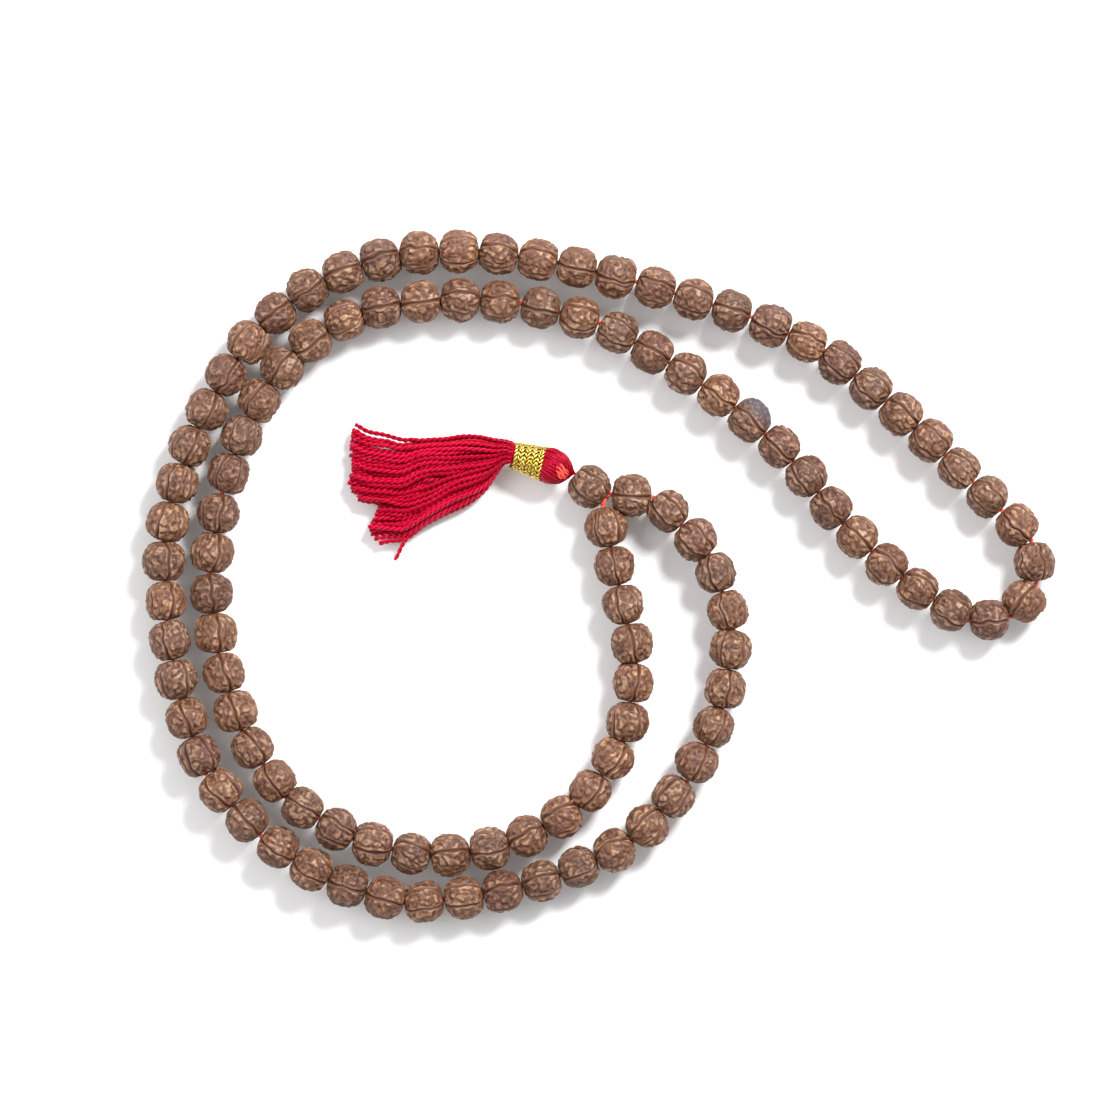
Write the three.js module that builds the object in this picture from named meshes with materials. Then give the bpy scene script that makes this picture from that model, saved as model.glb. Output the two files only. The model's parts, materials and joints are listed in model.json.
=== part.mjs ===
// Mala prayer beads laid flat: a knotted loop of carved seed beads, a guru bead and a bound tassel.
// Millimetres, +Z up, the loop lies in the XY plane and its beads rest on Z = 0.
import * as THREE from "three";

// ---- Driving dimensions ----
const BEAD_RADIUS = 3.95;
const BEAD_HALF_LENGTH = 3.65;
const BEAD_FACETS = 10;
const BAND_HALF_LENGTH = 1.15;
const SHOULDER = { radius: 2.75, along: 2.65 };
const WAIST_RADIUS = 1.7;
const THREAD_RADIUS = 0.5;
const THREAD_SIDES = 8;
const RUNNING_GAP = 0.3;
const BORE_RADIUS = THREAD_RADIUS + RUNNING_GAP;
const AXIS_HEIGHT = BEAD_RADIUS * Math.cos(Math.PI / BEAD_FACETS);

const GURU_CENTRE = [-1.4, 17.9];
const GURU_TURN_DEG = 137.6;
const STRAND_OFFSET = 0.65;
const GURU_BORE_RADIUS = STRAND_OFFSET + THREAD_RADIUS + RUNNING_GAP;

const TASSEL_TIP = [-4.15, 20.4];
const TASSEL_TURN_DEG = 163.3;
const TIP_GAP = 0.45;
const BINDING = { start: 6.4, end: 12.2, wide: 3.4, narrow: 2.6, wall: 0.5, turns: 8, depth: 0.22 };
const NECK = { at: 13.8, radius: 1.5, gap: 0.35 };

// The middle of the whole part in plan, which becomes its origin.
const PLAN_CENTRE = [0.47, 0.73];

// How many beads each turning group holds, from the guru bead round to the guru bead again.
const GROUPS = [...Array(24).fill(2), 1, 1, 1, 1, 3, 3, 2, 3, ...Array(22).fill(2), 1];
// Extra string left showing before a group, by the number of its first bead.
const SLACK = {
  19: 0.4,
  23: 0.6,
  35: 0.6,
  49: 0.6,
  50: 0.7,
  51: 0.8,
  52: 0.5,
  61: 0.6,
  86: 0.7,
  98: 0.7,
  108: 0.9,
};

// Where the string runs round the loop, from under the guru bead and back to it.
const ROUTE = [
  [0.95, 13.9],
  [4, 0],
  [7.6, -19.5],
  [2.6, -36],
  [-8.7, -47],
  [-30, -52.9],
  [-49.2, -48],
  [-64.2, -35.6],
  [-73.8, -3],
  [-70.4, 20.3],
  [-60.7, 40.6],
  [-44.6, 51.6],
  [-6.5, 51.5],
  [13.6, 41.7],
  [34.4, 26.3],
  [45.8, 12],
  [57, 1.2],
  [70, -7.6],
  [78.2, -7.4],
  [83.8, -0.8],
  [82.8, 7.8],
  [77.1, 13.3],
  [61.2, 29],
  [43.8, 43.6],
  [22, 52.7],
  [-22.6, 62.8],
  [-45.1, 60.5],
  [-63.9, 49],
  [-76, 29.1],
  [-82.6, 8],
  [-74.5, -37],
  [-58.2, -52.7],
  [-37, -61.5],
  [6.8, -49.8],
  [21.2, -30.8],
  [26.3, -12.4],
  [20.9, 6.2],
  [14.4, 13.6],
  [9.8, 16.3],
  [2.4, 16.5],
];

// The tassel's skirt from its neck to its cut ends: both edges in plan, its crown and its belly.
const SKIRT = [
  { upper: [-17.6, 26.4], lower: [-18.2, 22.6], crown: 1.7, belly: 1.7 },
  { upper: [-19.4, 27.5], lower: [-19.4, 19.5], crown: 2.9, belly: 2.9 },
  { upper: [-22.3, 28.3], lower: [-21.1, 16.6], crown: 3.2, belly: 4.2 },
  { upper: [-26.1, 28.5], lower: [-24.6, 13.9], crown: 2.9, belly: 4.8 },
  { upper: [-29.9, 27.9], lower: [-29.0, 12.0], crown: 2.2, belly: 5.0 },
  { upper: [-33.7, 27.5], lower: [-32.8, 10.1], crown: 1.6, belly: 5.2 },
  { upper: [-37.5, 27.7], lower: [-36.6, 7.3], crown: 1.1, belly: 5.4 },
  { upper: [-41.3, 28.5], lower: [-39.8, 7.0], crown: 0.7, belly: 5.6 },
  { upper: [-44.8, 28.9], lower: [-42.3, 8.4], crown: 0.2, belly: 5.8 },
  { upper: [-46.8, 26.4], lower: [-44.6, 13.0], crown: -0.4, belly: 6.0 },
];
const SKIRT_SIDES = 14;
const HEAD_FACETS = 16;

// ---- Finishes ----
const finish = (color, roughness, metalness = 0) =>
  new THREE.MeshStandardMaterial({ color, roughness, metalness });
const SEED = finish(0x8a6248, 0.6);
const GURU_SEED = finish(0x80593f, 0.6);
const CORAL_THREAD = finish(0xe0402f, 0.7);
const CRIMSON_THREAD = finish(0xb8102a, 0.55);
const GOLD_THREAD = finish(0xd0a830, 0.3, 1);

// ---- Helpers ----

/** Adds one named solid to the group that it is placed in. */
function addPart(parent, name, geometry, material) {
  const mesh = new THREE.Mesh(geometry, material);
  mesh.name = name;
  parent.add(mesh);
  return mesh;
}

/** Adds a group whose +Y runs along the table from `from`, at `turn` radians, at the beads' axis height. */
function addAxis(parent, [x, y], turn) {
  const axis = new THREE.Group();
  axis.position.set(x, y, AXIS_HEIGHT);
  axis.rotation.z = turn - Math.PI / 2;
  parent.add(axis);
  return axis;
}

/** A closed skin over rings that all have as many points, with a flat cap on each end ring. */
function skin(rings) {
  const sides = rings[0].length;
  const points = rings.flat();
  const faces = [];
  for (let r = 0; r + 1 < rings.length; r += 1) {
    for (let s = 0; s < sides; s += 1) {
      const near = r * sides + s;
      const next = r * sides + ((s + 1) % sides);
      faces.push(near, next, near + sides, next, next + sides, near + sides);
    }
  }
  const last = (rings.length - 1) * sides;
  for (let s = 1; s + 1 < sides; s += 1) {
    faces.push(0, s + 1, s, last, last + s, last + s + 1);
  }
  const geometry = new THREE.BufferGeometry().setFromPoints(points);
  geometry.setIndex(faces);
  return geometry;
}

/** A profile of [radius, along] pairs spun about +Y, with a flat side facing up and one facing down. */
function turned(profile, facets) {
  const outline = profile.map(([radius, along]) => new THREE.Vector2(radius, along));
  return new THREE.LatheGeometry(outline, facets, Math.PI / facets);
}

/** A tube along straight legs, mitred where they meet. */
function mitredTube(points, radius, sides) {
  const up = new THREE.Vector3(0, 0, 1);
  const rings = points.map((point, i) => {
    const before = i > 0 ? point.clone().sub(points[i - 1]).normalize() : null;
    const after = i + 1 < points.length ? points[i + 1].clone().sub(point).normalize() : null;
    const tangent = (before ?? after).clone().add(after ?? before).normalize();
    const across = up.clone().cross(tangent).normalize();
    const lift = tangent.clone().cross(across);
    const stretch = radius / tangent.dot(before ?? after);
    return Array.from({ length: sides }, (_, s) => {
      const angle = ((s + 0.5) * 2 * Math.PI) / sides;
      return point
        .clone()
        .addScaledVector(across, stretch * Math.cos(angle))
        .addScaledVector(lift, radius * Math.sin(angle));
    });
  });
  return skin(rings);
}

/** The plan point a distance along and a distance to the left of a line through `from`. */
function offset(from, turn, along, left = 0) {
  return [
    from[0] + along * Math.cos(turn) - left * Math.sin(turn),
    from[1] + along * Math.sin(turn) + left * Math.cos(turn),
  ];
}

/** A point at the beads' axis height, or a little above or below it. */
function atAxis([x, y], above = 0) {
  return new THREE.Vector3(x, y, AXIS_HEIGHT + above);
}

// ---- The loop's groups of beads ----

/** The ends of every group's straight length of string, walked along the route at one pitch. */
function walkGroups(track, pitch) {
  const ends = [track[0].clone()];
  let here = 0;
  let firstBead = 1;
  for (const count of GROUPS) {
    const reach = count * pitch + (SLACK[firstBead] ?? 0);
    const start = ends[ends.length - 1];
    while (here + 1 < track.length && track[here + 1].distanceTo(start) < reach) {
      here += 1;
    }
    if (here + 1 === track.length) {
      return null;
    }
    const inside = track[here].distanceTo(start);
    const share = (reach - inside) / (track[here + 1].distanceTo(start) - inside);
    ends.push(track[here].clone().lerp(track[here + 1], share));
    firstBead += count;
  }
  return ends;
}

/** The widest pitch at which every group still fits on the route. */
function fitPitch(track) {
  let [low, high] = [2 * BEAD_HALF_LENGTH, 2 * BEAD_RADIUS];
  for (let step = 0; step < 24; step += 1) {
    const middle = (low + high) / 2;
    if (walkGroups(track, middle)) {
      low = middle;
    } else {
      high = middle;
    }
  }
  return low;
}

/** One group's profile: its beads in a row, joined at their waists, round one bore. */
function groupProfile(count, pitch, boreRadius) {
  const lip = BEAD_HALF_LENGTH * Math.sqrt(1 - (boreRadius / BEAD_RADIUS) ** 2);
  const outline = [[boreRadius, -lip - ((count - 1) * pitch) / 2]];
  for (let bead = 0; bead < count; bead += 1) {
    const centre = (bead - (count - 1) / 2) * pitch;
    if (bead > 0) {
      outline.push([WAIST_RADIUS, centre - pitch / 2]);
    }
    outline.push(
      [SHOULDER.radius, centre - SHOULDER.along],
      [BEAD_RADIUS, centre - BAND_HALF_LENGTH],
      [BEAD_RADIUS, centre + BAND_HALF_LENGTH],
      [SHOULDER.radius, centre + SHOULDER.along],
    );
  }
  outline.push([boreRadius, lip + ((count - 1) * pitch) / 2], outline[0]);
  return outline;
}

const track = new THREE.CatmullRomCurve3(
  ROUTE.map((point) => atAxis(point)),
  false,
  "centripetal",
).getSpacedPoints(4000);
const pitch = fitPitch(track);
const ends = walkGroups(track, pitch);

const part = new THREE.Group();
part.name = "mala_prayer_beads";
const layout = new THREE.Group();
layout.position.set(-PLAN_CENTRE[0], -PLAN_CENTRE[1], 0);
part.add(layout);

const groupShapes = new Map(
  [1, 2, 3].map((count) => [count, turned(groupProfile(count, pitch, BORE_RADIUS), BEAD_FACETS)]),
);
let firstBead = 1;
GROUPS.forEach((count, i) => {
  const middle = ends[i].clone().add(ends[i + 1]).multiplyScalar(0.5);
  const turn = Math.atan2(ends[i + 1].y - ends[i].y, ends[i + 1].x - ends[i].x);
  const numbers = [firstBead, firstBead + count - 1].map((n) => String(n).padStart(3, "0"));
  const name = count === 1 ? `bead_${numbers[0]}` : `beads_${numbers[0]}_${numbers[1]}`;
  addPart(addAxis(layout, [middle.x, middle.y], turn), name, groupShapes.get(count), SEED);
  firstBead += count;
});

// ---- Guru bead ----
const guruTurn = THREE.MathUtils.degToRad(GURU_TURN_DEG);
const guruShape = turned(groupProfile(1, pitch, GURU_BORE_RADIUS), BEAD_FACETS);
addPart(addAxis(layout, GURU_CENTRE, guruTurn), "guru_bead", guruShape, GURU_SEED);

// ---- String: up through the guru bead, round the loop and down through the guru bead ----
const tipSide = offset(GURU_CENTRE, guruTurn, BEAD_HALF_LENGTH - 0.1);
const mouthSide = offset(GURU_CENTRE, guruTurn, -BEAD_HALF_LENGTH - 0.1);
const stringPath = [
  atAxis(tipSide, STRAND_OFFSET),
  atAxis(mouthSide, STRAND_OFFSET),
  ...ends,
  atAxis(mouthSide, -STRAND_OFFSET),
  atAxis(tipSide, -STRAND_OFFSET),
];
addPart(layout, "thread", mitredTube(stringPath, THREAD_RADIUS, THREAD_SIDES), CORAL_THREAD);

// ---- Tassel head: a wrapped bullet whose core runs on through the gold binding to the neck ----
const tassel = addAxis(layout, TASSEL_TIP, THREE.MathUtils.degToRad(TASSEL_TURN_DEG));
const coreInset = BINDING.wall + RUNNING_GAP;
const headProfile = [
  [0, TIP_GAP],
  [0.75, 0.8],
  [1.45, 1.4],
  [2.25, 2.2],
  [2.95, 3.2],
  [3.4, 4.5],
  [3.45, 5.4],
  [3.3, BINDING.start - RUNNING_GAP],
  [BINDING.wide - coreInset, BINDING.start - RUNNING_GAP],
  [BINDING.narrow - coreInset, BINDING.end],
  [NECK.radius, NECK.at - NECK.gap],
  [0, NECK.at - NECK.gap],
];
addPart(tassel, "tassel_head", turned(headProfile, HEAD_FACETS), CRIMSON_THREAD);

// ---- Gold binding: a tapered sleeve whose outside rises and falls once for each turn of thread ----
const bindingOutside = Array.from({ length: 2 * BINDING.turns + 1 }, (_, i) => {
  const share = i / (2 * BINDING.turns);
  const radius = THREE.MathUtils.lerp(BINDING.wide, BINDING.narrow, share);
  const dip = i % 2 === 0 ? BINDING.depth : 0;
  return [radius - dip, THREE.MathUtils.lerp(BINDING.start, BINDING.end, share)];
});
const bindingProfile = [
  ...bindingOutside,
  [BINDING.narrow - BINDING.wall, BINDING.end],
  [BINDING.wide - BINDING.wall, BINDING.start],
  bindingOutside[0],
];
addPart(tassel, "gold_binding", turned(bindingProfile, HEAD_FACETS), GOLD_THREAD);

// ---- Tassel skirt: the fanned bundle, flat underneath where it lies on the table ----
const skirtRings = SKIRT.map(({ upper, lower, crown, belly }) =>
  Array.from({ length: SKIRT_SIDES }, (_, s) => {
    const angle = (-(s + 0.5) * 2 * Math.PI) / SKIRT_SIDES;
    const share = (1 - Math.cos(angle)) / 2;
    const rise = Math.sin(angle) > 0 ? crown : belly;
    const height = Math.max(-AXIS_HEIGHT, rise * Math.sin(angle));
    const x = THREE.MathUtils.lerp(upper[0], lower[0], share);
    const y = THREE.MathUtils.lerp(upper[1], lower[1], share);
    return atAxis([x, y], height);
  }),
);
addPart(layout, "tassel_skirt", skin(skirtRings), CRIMSON_THREAD);

export default part;
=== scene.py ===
"""Mala prayer beads: a loop of wrinkled seed beads, a guru bead and a gold-bound tassel.

All sizes are in metres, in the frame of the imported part.
"""

import json
import logging
import math
from collections.abc import Iterable, Sequence
from dataclasses import dataclass, field
from enum import Enum

import bpy
import numpy as np
from bpy.types import Material, Mesh
from mathutils import Matrix, Vector

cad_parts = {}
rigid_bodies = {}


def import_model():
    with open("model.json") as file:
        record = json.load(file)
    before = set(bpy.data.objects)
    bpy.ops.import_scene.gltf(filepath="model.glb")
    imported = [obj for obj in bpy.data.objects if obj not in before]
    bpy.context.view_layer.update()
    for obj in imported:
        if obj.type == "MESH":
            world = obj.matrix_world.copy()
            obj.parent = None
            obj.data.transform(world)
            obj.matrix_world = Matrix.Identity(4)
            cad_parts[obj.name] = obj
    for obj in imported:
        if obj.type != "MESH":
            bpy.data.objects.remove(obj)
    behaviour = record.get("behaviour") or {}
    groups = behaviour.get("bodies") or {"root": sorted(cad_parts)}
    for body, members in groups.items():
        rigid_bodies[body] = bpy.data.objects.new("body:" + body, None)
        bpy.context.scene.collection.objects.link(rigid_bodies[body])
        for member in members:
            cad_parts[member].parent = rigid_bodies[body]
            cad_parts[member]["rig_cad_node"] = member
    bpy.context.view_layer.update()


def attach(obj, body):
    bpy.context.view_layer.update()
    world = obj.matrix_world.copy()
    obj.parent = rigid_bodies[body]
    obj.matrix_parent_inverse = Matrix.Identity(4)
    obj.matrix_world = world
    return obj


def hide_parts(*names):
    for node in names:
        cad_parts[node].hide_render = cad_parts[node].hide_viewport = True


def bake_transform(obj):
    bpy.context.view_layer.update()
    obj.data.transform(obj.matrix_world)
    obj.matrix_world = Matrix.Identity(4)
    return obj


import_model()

Array = np.ndarray
Triple = tuple[float, float, float]

MM = 0.001
TAU = 2 * math.pi
LOG = logging.getLogger("mala")

# The middle of the whole part in plan, taken off every route point below.
PLAN_CENTRE = (0.47 * MM, 0.73 * MM)

# Where the string runs round the loop, from under the guru bead and back to it.
ROUTE = (
    (0.00095, 0.0139), (0.004, 0.0), (0.0076, -0.0195), (0.0026, -0.036),
    (-0.0087, -0.047), (-0.03, -0.0529), (-0.0492, -0.048), (-0.0642, -0.0356),
    (-0.0738, -0.003), (-0.0704, 0.0203), (-0.0607, 0.0406), (-0.0446, 0.0516),
    (-0.0065, 0.0515), (0.0136, 0.0417), (0.0344, 0.0263), (0.0458, 0.012),
    (0.057, 0.0012), (0.07, -0.0076), (0.0782, -0.0074), (0.0838, -0.0008),
    (0.0828, 0.0078), (0.0771, 0.0133), (0.0612, 0.029), (0.0438, 0.0436),
    (0.022, 0.0527), (-0.0226, 0.0628), (-0.0451, 0.0605), (-0.0639, 0.049),
    (-0.076, 0.0291), (-0.0826, 0.008), (-0.0745, -0.037), (-0.0582, -0.0527),
    (-0.037, -0.0615), (0.0068, -0.0498), (0.0212, -0.0308), (0.0263, -0.0124),
    (0.0209, 0.0062), (0.0144, 0.0136), (0.0098, 0.0163), (0.0024, 0.0165),
)

# How many beads each turning group holds.
GROUPS = (2,) * 24 + (1,) * 4 + (3, 3, 2, 3) + (2,) * 22 + (1,)

# The string that shows before some groups, in millimetres, by the group's first bead.
SLACK = {
    **dict.fromkeys((23, 35, 49, 61), 0.6),
    **dict.fromkeys((50, 86, 98), 0.7),
    **{19: 0.4, 51: 0.8, 52: 0.5, 108: 0.9},
}
PITCH_RANGE = (7.3 * MM, 7.9 * MM)

BEAD_RADIUS = 3.95 * MM
BEAD_HALF_LENGTH = 3.65 * MM
BEAD_SIDES = 10
AXIS_HEIGHT = BEAD_RADIUS * math.cos(math.pi / BEAD_SIDES)
THREAD_RADIUS = 0.5 * MM
STRAND_OFFSET = 0.65 * MM
GURU_CENTRE = (-1.4 * MM, 17.9 * MM)
GURU_TURN = math.radians(137.6)
TASSEL_TIP = (-4.15 * MM, 20.4 * MM)
TASSEL_TURN = math.radians(163.3)

# The cosine above which a path starts too near the vertical to measure across it.
NEARLY_ALONG = 0.9


# Shader expressions.


class Wire:
    """A shader socket that can stand in an arithmetic expression."""

    def __init__(self, finish: "FinishTree", socket: bpy.types.NodeSocket) -> None:
        """Wrap one output socket of a finish's node tree."""
        self.finish = finish
        self.socket = socket

    def __add__(self, other: "Wire | float") -> "Wire":
        """Sum of two values."""
        return self.finish.math("ADD", self, other)

    def __radd__(self, other: float) -> "Wire":
        """Sum with the number on the left."""
        return self.finish.math("ADD", other, self)

    def __sub__(self, other: "Wire | float") -> "Wire":
        """Difference of two values."""
        return self.finish.math("SUBTRACT", self, other)

    def __rsub__(self, other: float) -> "Wire":
        """Difference with the number on the left."""
        return self.finish.math("SUBTRACT", other, self)

    def __mul__(self, other: "Wire | float") -> "Wire":
        """Product of two values."""
        return self.finish.math("MULTIPLY", self, other)

    def __rmul__(self, other: float) -> "Wire":
        """Product with the number on the left."""
        return self.finish.math("MULTIPLY", other, self)

    def clamp(self) -> "Wire":
        """The value held between 0 and 1."""
        return self.finish.node("ShaderNodeClamp", inputs={"Value": self})


class FinishTree:
    """One material's node tree, built from expressions."""

    def __init__(self, name: str) -> None:
        """Start an empty material that ends in one Principled shader."""
        self.material = bpy.data.materials.new(name)
        self.material.use_nodes = True
        self.tree = self.material.node_tree
        self.shader = self.tree.nodes["Principled BSDF"]

    def feed(self, socket: bpy.types.NodeSocket, value: object) -> None:
        """Link a wire into a socket, or set the socket to a constant."""
        if isinstance(value, Wire):
            self.tree.links.new(value.socket, socket)
        else:
            socket.default_value = value

    def node(
        self,
        kind: str,
        settings: dict[str, object] | None = None,
        inputs: dict[str | int, object] | None = None,
        output: str | int = 0,
    ) -> Wire:
        """Add any node.

        Args:
            kind: The node's type name.
            settings: Its own properties, set before the sockets. "stops" fills a colour ramp.
            inputs: Values or wires for its input sockets, by name or number.
            output: Which output socket to hand back.

        Returns:
            The wire from that output.
        """
        made = self.tree.nodes.new(kind)
        for key, value in (settings or {}).items():
            if key == "stops":
                self.fill_ramp(made.color_ramp, value)
            else:
                setattr(made, key, value)
        for key, value in (inputs or {}).items():
            self.feed(made.inputs[key], value)
        return Wire(self, made.outputs[output])

    @staticmethod
    def fill_ramp(ramp: bpy.types.ColorRamp, stops: Sequence[tuple[float, tuple]]) -> None:
        """Give a colour ramp its stops, each a place and a colour."""
        while len(ramp.elements) < len(stops):
            ramp.elements.new(1.0)
        for element, (place, colour) in zip(ramp.elements, stops, strict=True):
            element.position = place
            element.color = (*colour, 1.0)

    def math(self, operation: str, *values: "Wire | float") -> Wire:
        """One Math node on up to three values."""
        return self.node("ShaderNodeMath", {"operation": operation}, dict(enumerate(values)))

    def mix(self, factor: "Wire | float", under: object, over: object, mode: str = "MIX") -> Wire:
        """One colour over another, each a wire or three numbers.

        Args:
            factor: How much of the upper colour shows.
            under: The lower colour.
            over: The upper colour.
            mode: How they blend, such as MULTIPLY.

        Returns:
            The blended colour.
        """
        under, over = (c if isinstance(c, Wire) else (*c, 1.0) for c in (under, over))
        settings = {"data_type": "RGBA", "blend_type": mode}
        return self.node("ShaderNodeMix", settings, {0: factor, 6: under, 7: over}, output=2)

    def attribute(self, name: str) -> Wire:
        """A number stored on the mesh's points."""
        return self.node("ShaderNodeAttribute", {"attribute_name": name}, output="Fac")

    def place(self) -> Wire:
        """Where a point lies in its own piece."""
        return self.node("ShaderNodeTexCoord", output="Object")

    def noise(self, where: Wire, scale: float, detail: float = 3.0, rough: float = 0.55) -> Wire:
        """Cloudy noise from 0 to 1, its scale counted per metre."""
        inputs = {"Vector": where, "Scale": scale, "Detail": detail, "Roughness": rough}
        return self.node("ShaderNodeTexNoise", inputs=inputs)

    def bump(self, height: Wire, distance: float, strength: float = 1.0) -> Wire:
        """A normal from a height field, its depth in metres."""
        inputs = {"Height": height, "Distance": distance, "Strength": strength}
        return self.node("ShaderNodeBump", inputs=inputs)

    def finish(self, **sockets: object) -> Material:
        """Feed the Principled shader, with underscores standing for spaces in socket names."""
        for key, value in sockets.items():
            self.feed(self.shader.inputs[key.replace("_", " ")], value)
        return self.material


# Finishes.


@dataclass(frozen=True)
class SeedFinish:
    """Oiled, handled seed: painted shade in the furrows, painted highlight and wear on the ridges,
    a satin skin, and on some seeds a painted shadow down one side.
    """

    name: str
    # Ramp colours: painted shade in the furrows, the plain body, then painted highlight and wear on
    # the ridge tops.
    furrow_shade: Triple = (0.050, 0.014, 0.007)
    body: Triple = (0.140, 0.062, 0.034)
    ridge_highlight_and_wear: Triple = (0.38, 0.225, 0.135)
    # A painted bluish shadow down one side: its strength, its colour and how quickly it fades.
    painted_shadow: float = 0.0
    shadow_colour: Triple = (0.075, 0.07, 0.085)
    shadow_edge: float = 1.6 * MM

    def build(self) -> Material:
        """The seed's material."""
        tree = FinishTree(self.name)
        place = tree.place()
        relief = tree.attribute("relief")
        cloud = tree.noise(place, 420.0, 3.0)
        speck = tree.noise(place, 3600.0, 2.0, 0.7)
        shade_wear_level = (relief + (cloud - 0.5) * 0.35 + (speck - 0.5) * 0.16).clamp()
        # The ramp runs from painted shade in the furrows to painted highlight and wear on the ridge
        # tops.
        stops = [(0.0, self.furrow_shade), (0.30, self.body), (0.66, self.body), (1.0, self.ridge_highlight_and_wear)]
        colour = tree.node("ShaderNodeValToRGB", {"stops": stops}, {"Fac": shade_wear_level})
        tone = tree.node("ShaderNodeObjectInfo", output="Color")
        colour = tree.mix(1.0, colour, tone, "MULTIPLY")
        # Painted shadow: a bluish grey darkening one side of the seed, fading across its own Y.
        if self.painted_shadow:
            edge = tree.node("ShaderNodeSeparateXYZ", inputs={"Vector": place}, output="Y")
            side = (edge * (-1.0 / self.shadow_edge) - 0.35 + (cloud - 0.5) * 0.8).clamp()
            colour = tree.mix(side * self.painted_shadow, colour, self.shadow_colour)
        grain = tree.bump(speck * 0.6 + cloud * 0.4, 0.05 * MM, 0.6)
        return tree.finish(
            Base_Color=colour,
            Roughness=(0.62 - relief * 0.22 + (cloud - 0.5) * 0.2).clamp(),
            Normal=grain,
            Specular_IOR_Level=0.45,
        )


@dataclass(frozen=True)
class FibreFinish:
    """Twisted thread: fine filaments along each ply, painted shade where the plies meet and a
    painted highlight along each ply's crest.
    """

    name: str
    # shade is the painted shade where plies meet, light the painted highlight on each ply's crest,
    # glint the specular tint.
    shade: Triple
    body: Triple
    light: Triple
    glint: Triple
    rough: float = 0.34
    gloss: float = 0.6

    def build(self) -> Material:
        """The thread's material."""
        tree = FinishTree(self.name)
        place = tree.place()
        along = tree.attribute("along")
        around = tree.attribute("around")
        crest = tree.attribute("crest")
        tone = tree.attribute("tone")
        where = tree.node("ShaderNodeCombineXYZ", inputs={"X": along * 1.4, "Y": around * 9.0})
        filament = tree.node(
            "ShaderNodeTexNoise", inputs={"Vector": where, "Scale": 3.0, "Detail": 3.0}
        )
        cloud = tree.noise(place, 260.0, 2.0)
        # Painted shade and highlight follow the crest; filament, cloud and tone add random dye
        # variation.
        level = crest * 0.9 + (filament - 0.5) * 0.4 + (cloud - 0.5) * 0.35 + (tone - 0.5) * 0.5
        level = (level + 0.04).clamp()
        stops = [(0.0, self.shade), (0.3, self.body), (0.78, self.body), (1.0, self.light)]
        colour = tree.node("ShaderNodeValToRGB", {"stops": stops}, {"Fac": level})
        return tree.finish(
            Base_Color=colour,
            Roughness=(filament * 0.25 + (self.rough - 0.12)).clamp(),
            Normal=tree.bump(filament, 0.035 * MM, 0.7),
            Specular_IOR_Level=self.gloss,
            Specular_Tint=(*self.glint, 1.0),
        )


@dataclass(frozen=True)
class MetalThreadFinish:
    """Metallic foil thread: painted highlight on the crests over painted shade in the gaps between
    turns.
    """

    name: str
    # Painted shade in the gaps, the plain gold body, and a painted highlight on the crests.
    gap_shade: Triple = (0.05, 0.022, 0.001)
    body: Triple = (0.40, 0.25, 0.015)
    light: Triple = (1.0, 0.84, 0.24)

    def build(self) -> Material:
        """The foil thread's material."""
        tree = FinishTree(self.name)
        place = tree.place()
        crest = tree.attribute("crest")
        flake = tree.node(
            "ShaderNodeTexVoronoi", inputs={"Vector": place, "Scale": 3200.0}, output="Color"
        )
        glint = tree.node("ShaderNodeSeparateColor", inputs={"Color": flake}, output="Red")
        # Painted shade where the crest is low and painted highlight where it is high, with flakes
        # scattering painted glints.
        level = (crest * 1.3 + (glint - 0.5) * 0.5 - 0.34).clamp()
        stops = [(0.0, self.gap_shade), (0.5, self.body), (1.0, self.light)]
        colour = tree.node("ShaderNodeValToRGB", {"stops": stops}, {"Fac": level})
        return tree.finish(
            Base_Color=colour,
            Metallic=(crest * 0.05 + 0.95).clamp(),
            Roughness=(glint * 0.2 + 0.22).clamp(),
            Normal=tree.bump(glint, 0.03 * MM, 0.5),
            Specular_IOR_Level=0.2,
        )


@dataclass(frozen=True)
class FloorFinish:
    """Plain pale table."""

    name: str = "pale_table"
    colour: Triple = (0.90, 0.90, 0.905)
    cloud_colour: Triple = (0.88, 0.88, 0.885)

    def build(self) -> Material:
        """The table's material."""
        tree = FinishTree(self.name)
        cloud = tree.noise(tree.place(), 6.0, 2.0)
        colour = tree.mix(cloud * 0.3, self.colour, self.cloud_colour)
        return tree.finish(Base_Color=colour, Roughness=0.75)


# Mesh making.


def grid_faces(rows: int, columns: int, rows_close: bool) -> list[tuple[int, ...]]:
    """Quads over a grid of points whose columns always close on themselves.

    Args:
        rows: How many rings of points.
        columns: How many points in a ring.
        rows_close: Whether the last ring joins the first.

    Returns:
        The quads, as point numbers.
    """
    row = np.arange(rows if rows_close else rows - 1)[:, None]
    column = np.arange(columns)[None, :]
    below, above = row * columns, ((row + 1) % rows) * columns
    nearby = (column + 1) % columns
    quads = np.stack([below + column, below + nearby, above + nearby, above + column], axis=-1)
    return [tuple(quad) for quad in quads.reshape(-1, 4).tolist()]


def tube_faces(rows: int, columns: int) -> list[tuple[int, ...]]:
    """Faces of a tube with both ends closed.

    Args:
        rows: How many rings of points.
        columns: How many points in a ring.

    Returns:
        The quads along it, then a face at each end.
    """
    last = (rows - 1) * columns
    ends = [tuple(reversed(range(columns))), tuple(range(last, last + columns))]
    return grid_faces(rows, columns, False) + ends


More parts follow.
